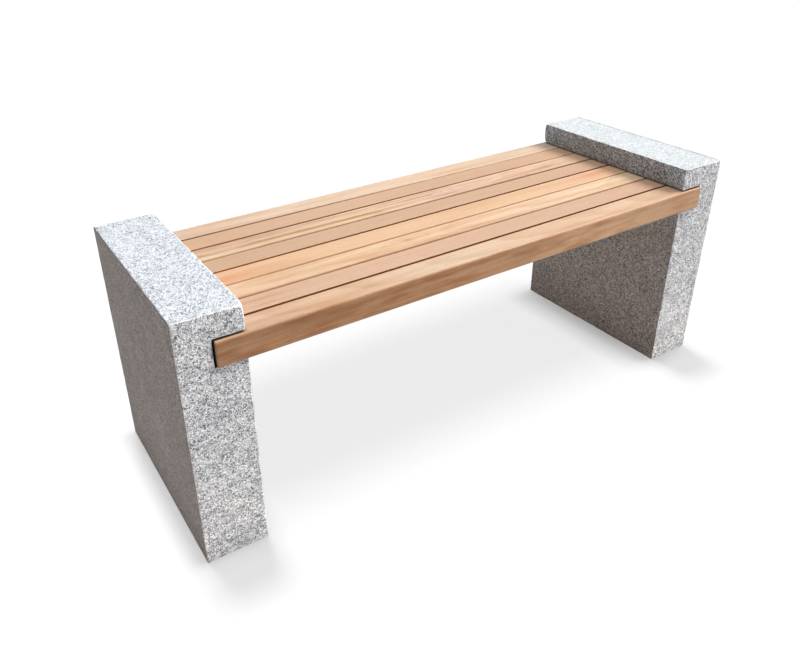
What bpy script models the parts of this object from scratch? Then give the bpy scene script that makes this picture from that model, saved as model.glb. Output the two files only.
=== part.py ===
"""Backless bench: two granite ends, a seat of eight hardwood slats housed in them, and the steelwork
underneath that ties the slats to each other and to the stone.

Units are metres and +Z is up. The origin is on the floor under the middle of the bench, +X runs along
its length and -Y is its front.
"""

import math

import bmesh
import bpy
from mathutils import Matrix

# ---------------------------------------------------------------- bench
BENCH_LENGTH = 1.300
FIT_GAP = 0.0003  # between faces that touch on the real bench

# ---------------------------------------------------------------- granite ends
END_THICKNESS = 0.120
END_DEPTH = 0.440
END_HEIGHT = 0.500
STONE_ARRIS = 0.002
HOUSING_DEPTH = 0.058  # how far the housing for the slats is cut into the stone
HOUSING_HEIGHT = 0.052
LEDGE_HEIGHT = 0.400  # floor of the housing, on which the slats rest

# ---------------------------------------------------------------- seat slats
SLAT_COUNT = 8
SLAT_PITCH = 0.0568
SLAT_WIDTH = 0.052
SLAT_THICKNESS = 0.0485
SLAT_ARRIS = 0.0025
SLAT_PLAY = 0.0036  # length of the two housings that the slats leave free
SEAT_SHIFT = 0.0015  # the seat sits this far towards the right end

# ---------------------------------------------------------------- flat bars across the slats
BEARER_COUNT = 3
BEARER_SPACING = 0.400
BEARER_WIDTH = 0.040
BEARER_THICKNESS = 0.005
BEARER_LENGTH = 0.424

# ---------------------------------------------------------------- steel angles that hold the seat to the stone
ANGLE_LEG = 0.050
ANGLE_THICKNESS = 0.005
ANGLE_LENGTH = 0.240
STEEL_ARRIS = 0.0008  # on the flat bars too
ANGLE_SCREW_REACH = 0.030  # from the stone to the screws
ANCHOR_SPACING = 0.150
ANCHOR_DROP = 0.030  # from the ledge down to the anchors

# ---------------------------------------------------------------- countersunk wood screws
SCREW_LENGTH = 0.036
SCREW_RADIUS = 0.0025
SCREW_POINT = 0.006
SCREW_HEAD_RADIUS = 0.0058
SCREW_HEAD_HEIGHT = 0.0033
SCREW_RECESS = 0.0002  # how far the head lies inside the steel
SOCKET_RADIUS = 0.0023
SOCKET_DEPTH = 0.0018

# ---------------------------------------------------------------- anchors in the stone
BOLT_RADIUS = 0.005
BOLT_LENGTH = 0.045
BOLT_HEAD_WIDTH = 0.017  # across the flats
BOLT_HEAD_HEIGHT = 0.0064
WASHER_RADIUS = 0.0105
WASHER_THICKNESS = 0.002
SLEEVE_RADIUS = 0.0075
SLEEVE_LENGTH = 0.050
SLEEVE_HOLE_DEPTH = 0.054

HOLE_PLAY = 0.0005  # radial room of a screw or bolt in a drilled hole
ROUND_STEPS = 12  # flats on a turned shape

INNER_FACE = BENCH_LENGTH / 2 - END_THICKNESS  # distance of each stone's inner face from the middle
SLAT_LENGTH = 2 * (INNER_FACE + HOUSING_DEPTH) - SLAT_PLAY
SLAT_BOTTOM = LEDGE_HEIGHT + FIT_GAP
STEEL_TOP = LEDGE_HEIGHT


def clear_scene():
    for item in list(bpy.data.objects):
        bpy.data.objects.remove(item, do_unlink=True)


def new_collection(name):
    collection = bpy.data.collections.new(name)
    bpy.context.scene.collection.children.link(collection)
    return collection


def new_material(name, colour, roughness, metallic=0.0):
    material = bpy.data.materials.new(name)
    material.use_nodes = True
    shader = material.node_tree.nodes["Principled BSDF"]
    shader.inputs["Base Color"].default_value = (*colour, 1.0)
    shader.inputs["Roughness"].default_value = roughness
    shader.inputs["Metallic"].default_value = metallic
    return material


def new_object(name, mesh, collection):
    item = bpy.data.objects.new(name, mesh)
    collection.objects.link(item)
    return item


def new_cutter(name, mesh):
    cutter = new_object(name, mesh, CUTTERS)
    cutter.hide_render = True
    cutter.display_type = "WIRE"
    return cutter


def add_part(name, mesh, material, parent, location=(0, 0, 0), rotation=(0, 0, 0)):
    """One piece of the bench, a child of its sub-assembly's empty."""
    part = new_object(name, mesh, PARTS)
    if not mesh.materials:
        mesh.materials.append(material)
    part.material_slots[0].link = "OBJECT"
    part.material_slots[0].material = material
    part.parent = parent
    part.location = location
    part.rotation_euler = rotation
    return part


def add_empty(name, parent=None, location=(0, 0, 0), turn=0.0):
    empty = bpy.data.objects.new(name, None)
    PARTS.objects.link(empty)
    empty.parent = parent
    empty.location = location
    empty.rotation_euler.z = turn
    return empty


def box_mesh(name, size, centre):
    """A closed box of this size around a point."""
    mesh = bpy.data.meshes.new(name)
    bm = bmesh.new()
    scale = Matrix.Diagonal((*size, 1.0))
    bmesh.ops.create_cube(bm, size=1.0, matrix=Matrix.Translation(centre) @ scale)
    bm.to_mesh(mesh)
    bm.free()
    return mesh


def rod_mesh(name, radius, length, steps=ROUND_STEPS):
    """A closed prism or cylinder that stands on the origin along +Z."""
    mesh = bpy.data.meshes.new(name)
    bm = bmesh.new()
    lift = Matrix.Translation((0, 0, length / 2))
    bmesh.ops.create_cone(
        bm, cap_ends=True, segments=steps, radius1=radius, radius2=radius, depth=length, matrix=lift
    )
    bm.to_mesh(mesh)
    bm.free()
    return mesh


def joined_copies(name, mesh, places):
    """One mesh that holds a copy of another at each place, the copies clear of each other."""
    joined = bpy.data.meshes.new(name)
    bm = bmesh.new()
    for place in places:
        copy = mesh.copy()
        copy.transform(place)
        bm.from_mesh(copy)
        bpy.data.meshes.remove(copy)
    bm.to_mesh(joined)
    bm.free()
    return joined


def bevel(item, width, segments):
    modifier = item.modifiers.new("Arris", "BEVEL")
    modifier.width = width
    modifier.segments = segments
    modifier.limit_method = "ANGLE"


def combine(item, tool_mesh, operation="DIFFERENCE"):
    """Cuts a tool's shape out of an object, or joins it on. The tool lies in the object's own frame."""
    tool = new_cutter(f"{tool_mesh.name}_tool", tool_mesh)
    modifier = item.modifiers.new(operation.title(), "BOOLEAN")
    modifier.operation = operation
    modifier.solver = "EXACT"
    modifier.object = tool


def finished_mesh(item, name):
    """The evaluated mesh of an object at the origin, shaded smooth. The object and its tools are removed."""
    depsgraph = bpy.context.evaluated_depsgraph_get()
    mesh = bpy.data.meshes.new_from_object(item.evaluated_get(depsgraph))
    mesh.name = name
    mesh.shade_smooth()
    mesh.set_sharp_from_angle(angle=math.radians(30))
    tools = [m.object for m in item.modifiers if m.type == "BOOLEAN"]
    for used in (item, *tools):
        bpy.data.objects.remove(used, do_unlink=True)
    return mesh


def turned_mesh(name, profile, closed=False):
    """A turned shape from (radius, height) points, which run down its outer side.

    An open profile starts and ends on the axis. A closed one is a ring's section.
    """
    mesh = bpy.data.meshes.new(f"{name}_profile")
    bm = bmesh.new()
    points = [bm.verts.new((radius, 0, height)) for radius, height in profile]
    for start, end in zip(points, points[1:]):
        bm.edges.new((start, end))
    if closed:
        bm.edges.new((points[-1], points[0]))
    bm.to_mesh(mesh)
    bm.free()
    item = new_object(f"{name}_turned", mesh, PARTS)
    screw = item.modifiers.new("Turn", "SCREW")
    screw.steps = ROUND_STEPS
    screw.render_steps = ROUND_STEPS
    screw.use_merge_vertices = True
    screw.merge_threshold = 0.00005
    return finished_mesh(item, name)


def slat_positions():
    """Distance of each slat's centre line from the middle of the seat, front to rear."""
    return [(index - (SLAT_COUNT - 1) / 2) * SLAT_PITCH for index in range(SLAT_COUNT)]


def angle_slats():
    """Indexes of the slats that lie wholly over the steel angles."""
    reach = (ANGLE_LENGTH - SLAT_WIDTH) / 2
    return [index for index, y in enumerate(slat_positions()) if abs(y) <= reach]


def bearer_positions():
    return [(index - (BEARER_COUNT - 1) / 2) * BEARER_SPACING for index in range(BEARER_COUNT)]


def angle_screw_positions():
    """Where the angles' screws stand along the bench, one row at each end."""
    reach = INNER_FACE - ANGLE_SCREW_REACH
    return (-reach, reach)


def anchor_rows():
    """Where the anchors stand across the bench, front and rear."""
    return (-ANCHOR_SPACING / 2, ANCHOR_SPACING / 2)


def screw_mesh():
    """A countersunk wood screw with a hexagon socket, head down and point up, its head's face at z = 0."""
    profile = [
        (0, SCREW_LENGTH),
        (SCREW_RADIUS, SCREW_LENGTH - SCREW_POINT),
        (SCREW_RADIUS, SCREW_HEAD_HEIGHT),
        (SCREW_HEAD_RADIUS, 0),
        (0, 0),
    ]
    blank = new_object("screw_blank", turned_mesh("screw_body", profile), PARTS)
    socket = rod_mesh("screw_socket", SOCKET_RADIUS, SOCKET_DEPTH + FIT_GAP, steps=6)
    socket.transform(Matrix.Translation((0, 0, -FIT_GAP)))
    combine(blank, socket)
    return finished_mesh(blank, "wood_screw")


def countersink_mesh():
    """The shape of a countersunk hole through steel of one thickness, from its lower face at z = 0."""
    neck = SCREW_RADIUS + HOLE_PLAY
    mouth = SCREW_HEAD_RADIUS + HOLE_PLAY
    cone_top = SCREW_RECESS + SCREW_HEAD_HEIGHT
    profile = [
        (0, BEARER_THICKNESS + FIT_GAP),
        (neck, BEARER_THICKNESS + FIT_GAP),
        (neck, cone_top),
        (mouth, SCREW_RECESS),
        (mouth, -FIT_GAP),
        (0, -FIT_GAP),
    ]
    return turned_mesh("countersink", profile)


def slat_mesh(name, screw_rows):
    """A slat with eased edges and a pilot hole from below for each row of screws."""
    size = (SLAT_LENGTH, SLAT_WIDTH, SLAT_THICKNESS)
    blank = new_object(name, box_mesh(f"{name}_box", size, (0, 0, SLAT_THICKNESS / 2)), PARTS)
    bevel(blank, SLAT_ARRIS, segments=2)
    depth = SCREW_LENGTH + HOLE_PLAY - (BEARER_THICKNESS - SCREW_RECESS)
    pilot = rod_mesh("pilot", SCREW_RADIUS + HOLE_PLAY, depth + FIT_GAP)
    places = [Matrix.Translation((x, 0, -FIT_GAP)) for x in screw_rows]
    combine(blank, joined_copies(f"{name}_pilots", pilot, places))
    return finished_mesh(blank, name)


def bearer_mesh():
    """A flat bar with a countersunk hole under each slat, its top face at z = 0."""
    size = (BEARER_WIDTH, BEARER_LENGTH, BEARER_THICKNESS)
    blank = new_object("bearer", box_mesh("bearer_box", size, (0, 0, -BEARER_THICKNESS / 2)), PARTS)
    bevel(blank, STEEL_ARRIS, segments=1)
    places = [Matrix.Translation((0, y, -BEARER_THICKNESS)) for y in slat_positions()]
    combine(blank, joined_copies("bearer_holes", countersink_mesh(), places))
    return finished_mesh(blank, "cross_bearer")


def angle_mesh():
    """A steel angle: one leg lies against the stone at x = 0, the other under the slats at z = 0."""
    size = (ANGLE_LEG, ANGLE_LENGTH, ANGLE_LEG)
    centre = (ANGLE_LEG / 2, 0, -ANGLE_LEG / 2)
    blank = new_object("angle", box_mesh("angle_box", size, centre), PARTS)
    hollow = (ANGLE_LEG, ANGLE_LENGTH + 2 * ANGLE_LEG, ANGLE_LEG)
    centre = (ANGLE_THICKNESS + ANGLE_LEG / 2, 0, -ANGLE_THICKNESS - ANGLE_LEG / 2)
    combine(blank, box_mesh("angle_hollow", hollow, centre))
    bevel(blank, STEEL_ARRIS, segments=1)

    rows = [slat_positions()[index] for index in angle_slats()]
    reach = ANGLE_SCREW_REACH - FIT_GAP
    places = [Matrix.Translation((reach, y, -ANGLE_THICKNESS)) for y in rows]
    combine(blank, joined_copies("angle_screw_holes", countersink_mesh(), places))

    hole = rod_mesh("anchor_hole", BOLT_RADIUS + HOLE_PLAY, ANGLE_THICKNESS + 2 * FIT_GAP)
    along_x = Matrix.Rotation(math.pi / 2, 4, "Y")
    places = [Matrix.Translation((-FIT_GAP, y, -ANCHOR_DROP)) @ along_x for y in anchor_rows()]
    combine(blank, joined_copies("angle_anchor_holes", hole, places))
    return finished_mesh(blank, "steel_angle")


def stone_mesh():
    """A granite end whose inner face is at x = 0 and which stands at -X of it."""
    size = (END_THICKNESS, END_DEPTH, END_HEIGHT)
    centre = (-END_THICKNESS / 2, 0, END_HEIGHT / 2)
    blank = new_object("stone", box_mesh("stone_box", size, centre), PARTS)

    margin = END_THICKNESS
    size = (HOUSING_DEPTH + margin, END_DEPTH + 2 * margin, HOUSING_HEIGHT)
    centre = (margin / 2 - HOUSING_DEPTH / 2, 0, LEDGE_HEIGHT + HOUSING_HEIGHT / 2)
    combine(blank, box_mesh("housing", size, centre))
    bevel(blank, STONE_ARRIS, segments=2)

    hole = rod_mesh("sleeve_hole", SLEEVE_RADIUS + HOLE_PLAY, SLEEVE_HOLE_DEPTH + STONE_ARRIS)
    into_stone = Matrix.Rotation(-math.pi / 2, 4, "Y")
    height = LEDGE_HEIGHT - ANCHOR_DROP
    places = [Matrix.Translation((STONE_ARRIS, y, height)) @ into_stone for y in anchor_rows()]
    combine(blank, joined_copies("sleeve_holes", hole, places))
    return finished_mesh(blank, "granite_end")


def bolt_mesh():
    """A hexagon-head bolt: its head stands up from z = 0 and its shank hangs below."""
    head_radius = BOLT_HEAD_WIDTH / 2 / math.cos(math.pi / 6)
    blank = new_object("bolt", rod_mesh("bolt_head", head_radius, BOLT_HEAD_HEIGHT, steps=6), PARTS)
    shank = rod_mesh("bolt_shank", BOLT_RADIUS, BOLT_LENGTH + BOLT_HEAD_HEIGHT / 2)
    shank.transform(Matrix.Translation((0, 0, -BOLT_LENGTH)))
    combine(blank, shank, "UNION")
    return finished_mesh(blank, "hexagon_bolt")


def ring_mesh(name, outer_radius, inner_radius, length):
    """A ring or tube that stands on z = 0."""
    section = [(outer_radius, length), (outer_radius, 0), (inner_radius, 0), (inner_radius, length)]
    return turned_mesh(name, section, closed=True)


def add_seat(bench):
    """The slats, the flat bars across them and the screws, which go in from below."""
    seat = add_empty("seat", bench, (SEAT_SHIFT, 0, 0))
    angle_rows = [x - SEAT_SHIFT for x in angle_screw_positions()]
    outer_slat = slat_mesh("outer_slat", bearer_positions())
    inner_slat = slat_mesh("inner_slat", [*bearer_positions(), *angle_rows])
    for index, y in enumerate(slat_positions()):
        mesh = inner_slat if index in angle_slats() else outer_slat
        add_part(f"slat_{index + 1}", mesh, SLAT_WOODS[index], seat, (0, y, SLAT_BOTTOM))

    bearer = bearer_mesh()
    screw = screw_mesh()
    screw_height = STEEL_TOP - BEARER_THICKNESS + SCREW_RECESS
    for place, x in zip(("left", "middle", "right"), bearer_positions()):
        add_part(f"cross_bearer_{place}", bearer, GALVANISED, seat, (x, 0, STEEL_TOP))
        for index, y in enumerate(slat_positions()):
            name = f"bearer_screw_{place}_{index + 1}"
            add_part(name, screw, STAINLESS, seat, (x, y, screw_height))
    for place, x in zip(("left", "right"), angle_rows):
        for index in angle_slats():
            name = f"angle_screw_{place}_{index + 1}"
            add_part(name, screw, STAINLESS, seat, (x, slat_positions()[index], screw_height))


def add_ends(bench):
    """The two granite ends with their steel angles. The right end is the left one turned round."""
    stone = stone_mesh()
    angle = angle_mesh()
    bolt = bolt_mesh()
    washer = ring_mesh("washer", WASHER_RADIUS, BOLT_RADIUS + HOLE_PLAY, WASHER_THICKNESS)
    sleeve = ring_mesh("anchor_sleeve", SLEEVE_RADIUS, BOLT_RADIUS + HOLE_PLAY, SLEEVE_LENGTH)
    facing_out = (0, math.pi / 2, 0)
    height = LEDGE_HEIGHT - ANCHOR_DROP
    washer_x = FIT_GAP + ANGLE_THICKNESS + FIT_GAP
    bolt_x = washer_x + WASHER_THICKNESS + FIT_GAP
    for side, direction in (("left", -1), ("right", 1)):
        turn = 0 if side == "left" else math.pi
        end = add_empty(f"{side}_end", bench, (direction * INNER_FACE, 0, 0), turn)
        add_part(f"granite_end_{side}", stone, GRANITE, end)
        add_part(f"steel_angle_{side}", angle, GALVANISED, end, (FIT_GAP, 0, STEEL_TOP))
        for row, y in zip(("front", "rear"), anchor_rows()):
            local_y = -direction * y
            name = f"{side}_{row}"
            sleeve_x = -SLEEVE_LENGTH - FIT_GAP
            add_part(f"anchor_sleeve_{name}", sleeve, STAINLESS, end, (sleeve_x, local_y, height), facing_out)
            add_part(f"washer_{name}", washer, STAINLESS, end, (washer_x, local_y, height), facing_out)
            add_part(f"anchor_bolt_{name}", bolt, STAINLESS, end, (bolt_x, local_y, height), facing_out)


clear_scene()
PARTS = new_collection("backless_bench")
CUTTERS = new_collection("cutters")

GRANITE = new_material("granite", (0.56, 0.56, 0.57), 0.85)
GALVANISED = new_material("galvanised_steel", (0.50, 0.52, 0.54), 0.45, metallic=1.0)
STAINLESS = new_material("stainless_steel", (0.62, 0.61, 0.59), 0.30, metallic=1.0)
CREAM = new_material("hardwood_cream", (0.72, 0.49, 0.32), 0.55)
ROSE = new_material("hardwood_rose", (0.63, 0.40, 0.27), 0.55)
AMBER = new_material("hardwood_amber", (0.72, 0.43, 0.22), 0.55)
PEACH = new_material("hardwood_peach", (0.68, 0.44, 0.29), 0.55)
SLAT_WOODS = (CREAM, ROSE, AMBER, AMBER, ROSE, PEACH, PEACH, CREAM)  # front to rear

BENCH = add_empty("bench")
add_seat(BENCH)
add_ends(BENCH)
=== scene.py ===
"""Looks of the backless bench: bush-hammered granite ends, oiled hardwood slats and the steelwork under
the seat, in metres, with +X along the bench and -Y its front. Each piece takes its place and its outer
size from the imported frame.
"""

import math

import bmesh
import bpy
import numpy as np
from mathutils import Matrix, Vector


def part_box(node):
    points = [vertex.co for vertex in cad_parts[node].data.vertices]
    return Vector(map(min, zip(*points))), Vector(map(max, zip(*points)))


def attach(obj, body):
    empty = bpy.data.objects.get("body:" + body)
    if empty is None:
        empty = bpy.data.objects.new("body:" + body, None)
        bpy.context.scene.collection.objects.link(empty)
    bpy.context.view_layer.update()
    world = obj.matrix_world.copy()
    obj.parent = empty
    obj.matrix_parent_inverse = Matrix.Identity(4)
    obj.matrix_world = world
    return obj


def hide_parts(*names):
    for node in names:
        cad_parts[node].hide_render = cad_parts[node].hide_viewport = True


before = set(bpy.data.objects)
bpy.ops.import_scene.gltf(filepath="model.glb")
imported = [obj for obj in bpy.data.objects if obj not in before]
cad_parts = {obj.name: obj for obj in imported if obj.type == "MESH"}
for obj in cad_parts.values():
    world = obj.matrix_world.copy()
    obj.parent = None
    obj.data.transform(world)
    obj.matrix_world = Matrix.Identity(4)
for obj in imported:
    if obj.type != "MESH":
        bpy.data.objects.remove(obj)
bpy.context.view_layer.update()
BODY = "root"
NODES = sorted(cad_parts)
SLATS = [name for name in NODES if name.startswith("slat_")]

MM = 0.001


# ---------------------------------------------------------------- numbers that vary over space


def smooth_noise(points, cell, seed):
    """Smooth random values from 0 to 1 at an array of points, which change over about one cell."""
    table = np.random.RandomState(seed).rand(64, 64, 64)
    places = np.asarray(points) / cell + 1000.0
    corner = np.floor(places).astype(int)
    part = places - corner
    part = part * part * (3 - 2 * part)
    total = 0
    for dx in (0, 1):
        for dy in (0, 1):
            for dz in (0, 1):
                share = np.abs(1 - dx - part[:, 0])
                share = share * np.abs(1 - dy - part[:, 1]) * np.abs(1 - dz - part[:, 2])
                index = (corner + (dx, dy, dz)) % 64
                total = total + share * table[index[:, 0], index[:, 1], index[:, 2]]
    return total


def smoothstep(low, high, value):
    """0 up to low, 1 from high on, and a soft step between. It falls instead where high is below low."""
    share = np.clip((value - low) / (high - low), 0, 1)
    return share * share * (3 - 2 * share)


# ---------------------------------------------------------------- pieces


def mesh_object(name, points, faces):
    mesh = bpy.data.meshes.new(name)
    mesh.from_pydata([tuple(p) for p in points], [], [tuple(f) for f in faces])
    mesh.shade_smooth()
    item = bpy.data.objects.new(name, mesh)
    bpy.context.scene.collection.objects.link(item)
    return item


def point_values(item, name, values):
    """Keeps one number for each point of a mesh, for its material to read."""
    attribute = item.data.attributes.new(name, "FLOAT", "POINT")
    attribute.data.foreach_set("value", np.asarray(values, np.float32))


def fit_out(piece, node, material):
    """A finished piece that stands for a CAD node."""
    piece.data.materials.clear()
    piece.data.materials.append(material)
    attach(piece, BODY)
    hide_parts(node)


# ---------------------------------------------------------------- material building


class Surface:
    """A procedural material, with short calls that add a node and give back its output."""

    def __init__(self, name):
        self.material = bpy.data.materials.new(name)
        self.material.use_nodes = True
        self.tree = self.material.node_tree
        self.shader = self.tree.nodes["Principled BSDF"]
        coordinates = self.node("ShaderNodeTexCoord")
        self.place = coordinates.outputs["Object"]
        self.normal = coordinates.outputs["Normal"]

    def node(self, kind, inputs=None, **settings):
        """A new node, with values or links for its inputs and values for its own settings."""
        made = self.tree.nodes.new(kind)
        for key, value in settings.items():
            setattr(made, key, value)
        for key, value in (inputs or {}).items():
            self.feed(made.inputs[key], value)
        return made

    def feed(self, socket, value):
        if isinstance(value, bpy.types.NodeSocket):
            self.tree.links.new(value, socket)
        else:
            socket.default_value = value

    def set(self, **inputs):
        """Sets the shader's inputs, with underscores for the spaces in their names."""
        for key, value in inputs.items():
            self.feed(self.shader.inputs[key.replace("_", " ")], value)

    def math(self, operation, a, b=0.0, c=0.0, clamp=False):
        made = self.node("ShaderNodeMath", operation=operation, use_clamp=clamp)
        for socket, value in zip(made.inputs, (a, b, c)):
            self.feed(socket, value)
        return made.outputs[0]

    def vector(self, operation, *values):
        made = self.node("ShaderNodeVectorMath", operation=operation)
        for socket, value in zip(made.inputs, values):
            self.feed(socket, value)
        return made.outputs[0]

    def point_value(self, name):
        return self.node("ShaderNodeAttribute", attribute_name=name).outputs["Fac"]

    def split(self, vector):
        return self.node("ShaderNodeSeparateXYZ", {0: vector}).outputs

    def join(self, x, y, z):
        return self.node("ShaderNodeCombineXYZ", {0: x, 1: y, 2: z}).outputs[0]

    def noise(self, vector, scale, detail=2.0, roughness=0.5, output="Fac"):
        inputs = {"Vector": vector, "Scale": scale, "Detail": detail, "Roughness": roughness}
        return self.node("ShaderNodeTexNoise", inputs).outputs[output]

    def cells(self, vector, scale):
        """A random colour for each of the cells that space is broken into."""
        return self.node("ShaderNodeTexVoronoi", {"Vector": vector, "Scale": scale}).outputs["Color"]

    def stretch(self, value, low, high, to_low=0.0, to_high=1.0, smooth=False):
        """The value carried from one range to another, and held at its ends."""
        made = self.node("ShaderNodeMapRange", {0: value, 1: low, 2: high, 3: to_low, 4: to_high})
        made.interpolation_type = "SMOOTHSTEP" if smooth else "LINEAR"
        return made.outputs[0]

    def ramp(self, value, stops, mode="LINEAR"):
        """The colour at the value, from stops of (position, colour)."""
        made = self.node("ShaderNodeValToRGB", {0: value})
        band = made.color_ramp
        band.interpolation = mode
        while len(band.elements) < len(stops):
            band.elements.new(1.0)
        for element, (position, colour) in zip(band.elements, stops):
            element.position = position
            element.color = (*colour, 1.0)
        return made.outputs[0]

    def tones(self, value, colours):
        """Colours blended evenly from one to the next as the value goes from 0 to 1."""
        if len(colours) == 1:
            return colours[0]
        spread = np.linspace(0, 1, len(colours))
        return self.ramp(value, list(zip(spread, colours)), mode="EASE")

    def patch(self, x, y, centre, size):
        """1 at the middle of an elliptic place, falling off softly to 0."""
        x = self.math("DIVIDE", self.math("SUBTRACT", x, centre[0]), size[0])
        y = self.math("DIVIDE", self.math("SUBTRACT", y, centre[1]), size[1])
        squared = self.math("MULTIPLY_ADD", x, x, self.math("MULTIPLY", y, y))
        return self.math("EXPONENT", self.math("MULTIPLY", squared, -1.0))

    def mix(self, factor, a, b, blend="MIX"):
        """Colour a, turned into b as far as the factor says, or into a times b if blend is MULTIPLY."""
        made = self.node("ShaderNodeMix", data_type="RGBA", blend_type=blend)
        self.feed(made.inputs[0], factor)
        for socket, value in ((made.inputs[6], a), (made.inputs[7], b)):
            self.feed(socket, (*value, 1.0) if isinstance(value, tuple) else value)
        return made.outputs[2]

    def bump(self, height, distance, strength):
        inputs = {"Height": height, "Distance": distance, "Strength": strength}
        return self.node("ShaderNodeBump", inputs).outputs[0]


def grey(level):
    return (level, level, level)


# ---------------------------------------------------------------- granite

INNER_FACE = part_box("granite_end_right")[0].x  # of each stone, measured from the middle
STONE_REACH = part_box("granite_end_right")[1].y  # of its front and rear faces, from the middle
HOUSING_DEPTH = 58 * MM  # of the cut in each stone's inner face that takes the slats
HOUSING_HEIGHT = 52 * MM
FIT_GAP = 0.3 * MM  # between faces that touch
LATTICE_PITCH = 3.4 * MM  # of the stones' faces
EDGE_LINES = np.array([0.0, 0.7, 1.5, 2.6, 4.2]) * MM  # how far the lattice's lines lie from each edge
SMALL_CHIPS = 26  # along each stone's edges

# The tone of a grain by its value: black mica, smoky quartz, then pale feldspar.
GRAIN_TONES = [
    (0.06, (0.028, 0.032, 0.040)),
    (0.20, (0.086, 0.096, 0.116)),
    (0.34, (0.248, 0.260, 0.290)),
    (0.50, (0.498, 0.500, 0.520)),
    (0.66, (0.735, 0.724, 0.730)),
    (0.84, (0.920, 0.906, 0.908)),
]
# The same on the tops, which the weather has washed paler: only brightnesses, for one bluish tint, which is
# painted light standing in for light from the sky above.
TOP_TONES = [(0.05, 0.07), (0.17, 0.15), (0.30, 0.36), (0.46, 0.58), (0.66, 0.73), (0.88, 0.83)]
PAINTED_SKY_TINT = (0.945, 1.0, 1.08)
# Painted light: the tops fade from the left end to the right towards this flat grey, which stands in for the
# brighter light on the right end.
PAINTED_GLARE_GREY = (0.527, 0.557, 0.551)  # towards which the top fades from the left end to the right
# The sawn faces' own tone, and painted shade: they are darkened to about 0.4 of the worked faces, which
# stands in for the shade on the faces that turn to the bench's left.
SAWN_TONES_AND_SHADE = [(0.35, (0.376, 0.367, 0.349)), (0.65, (0.422, 0.412, 0.391))]
DUST_TINT = (1.25, 1.22, 1.18)  # near the ground
# Darkens the sawn faces towards the ground.
LOW_SAWN_DARKENING = (0.84, 0.84, 0.84)  # of the sawn faces near the ground
# Painted light: turns the lip face cooler, against the warm light that the slats throw onto it.
PAINTED_LIP_COOLING = (0.92, 1.02, 1.09)
# Bruised arrises, paler, which also serves as a painted highlight along the edges.
BRUISE_AND_HIGHLIGHT = (0.90, 0.90, 0.89)
GRIME = (0.085, 0.076, 0.070)
# Painted shade: near black inside the housing, where the slats sit.
PAINTED_HOUSING_SHADE = (0.012, 0.011, 0.010)  # inside the housing


def granite_material():
    """Silver-grey granite, of grains in two sizes, and how weather and tools have changed each face.

    A stone's mesh says where an arris is bruised and gets a painted highlight ("arris") or is dirty
    ("grime"), where a face is as the saw left it ("sawn"), which face the lip turns to the seat ("lip")
    and how deep inside the housing a point lies ("inside"). Painted light and shade: the sawn faces are
    darkened in part as painted shade, the tops take a painted bluish sky tint and fade to the right into
    painted glare, the lip face is painted cooler and the inside of the housing is painted dark.
    """
    s = Surface("silver_granite")
    marks = ("arris", "grime", "sawn", "lip", "inside")
    arris, grime, sawn, lip, inside = (s.point_value(name) for name in marks)
    facing_up = s.stretch(s.split(s.normal)[2], 0.55, 0.9, smooth=True)

    wander = s.noise(s.place, 420.0, output="Color")
    place = s.vector("MULTIPLY_ADD", wander, (2.0 * MM,) * 3, s.place)
    coarse = s.split(s.cells(place, 330.0))[0]
    fine = s.split(s.cells(place, 690.0))[1]
    clumps = s.noise(s.place, 85.0, detail=3.0, roughness=0.6)
    shade = s.math("MULTIPLY_ADD", coarse, 0.32, s.math("MULTIPLY", fine, 0.68))
    shade = s.math("ADD", shade, s.stretch(clumps, 0.3, 0.7, -0.09, 0.09))
    speckle = s.ramp(shade, GRAIN_TONES)
    cloud = s.noise(s.place, 16.0, detail=3.0)
    speckle = s.mix(1.0, speckle, s.ramp(cloud, [(0.35, grey(0.92)), (0.65, grey(1.0))]), "MULTIPLY")

    along, _, above_ground = s.split(s.place)[:3]
    # The tops: paler, weather-washed grain, with the painted sky tint, fading to the right into painted
    # glare.
    tops = [(at, tuple(level * part for part in PAINTED_SKY_TINT)) for at, level in TOP_TONES]
    fading = s.stretch(along, -INNER_FACE, INNER_FACE, 0.0, 0.36)
    washed_top_and_painted_light = s.mix(fading, s.ramp(shade, tops), PAINTED_GLARE_GREY)
    colour = s.mix(facing_up, speckle, washed_top_and_painted_light)
    dust = s.math("MULTIPLY", s.stretch(above_ground, 0.24, 0.04), s.stretch(cloud, 0.3, 0.6))
    colour = s.mix(dust, colour, DUST_TINT, "MULTIPLY")
    # The sawn faces: their own mottled tone, darkened as painted shade, and darker towards the ground.
    sawn_tone_and_shade = s.ramp(s.noise(s.place, 9.0, detail=4.0, roughness=0.6), SAWN_TONES_AND_SHADE)
    near_ground = s.stretch(above_ground, 0.12, 0.02, smooth=True)
    sawn_tone_and_shade = s.mix(near_ground, sawn_tone_and_shade, LOW_SAWN_DARKENING, "MULTIPLY")
    colour = s.mix(sawn, colour, s.mix(1.0, speckle, sawn_tone_and_shade, "MULTIPLY"))
    # Painted light on the lip face.
    colour = s.mix(lip, colour, PAINTED_LIP_COOLING, "MULTIPLY")
    # Bruised, paler arrises, also a painted highlight.
    colour = s.mix(s.math("MULTIPLY", arris, 0.85), colour, BRUISE_AND_HIGHLIGHT)
    colour = s.mix(s.math("MULTIPLY", grime, 0.85), colour, GRIME)
    # Painted shade inside the housing.
    colour = s.mix(inside, colour, PAINTED_HOUSING_SHADE)

    pits = s.noise(s.place, 900.0, detail=3.0, roughness=0.6)
    relief = s.math("MULTIPLY_ADD", coarse, 0.35, pits)
    relief = s.math("MULTIPLY", relief, s.stretch(sawn, 0.0, 1.0, 1.0, 0.3))
    s.set(
        Base_Color=colour,
        Roughness=s.stretch(shade, 0.1, 0.6, 0.55, 0.82),
        Normal=s.bump(relief, 0.9 * MM, 0.7),
        Specular_IOR_Level=0.35,
    )
    return s.material


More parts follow.
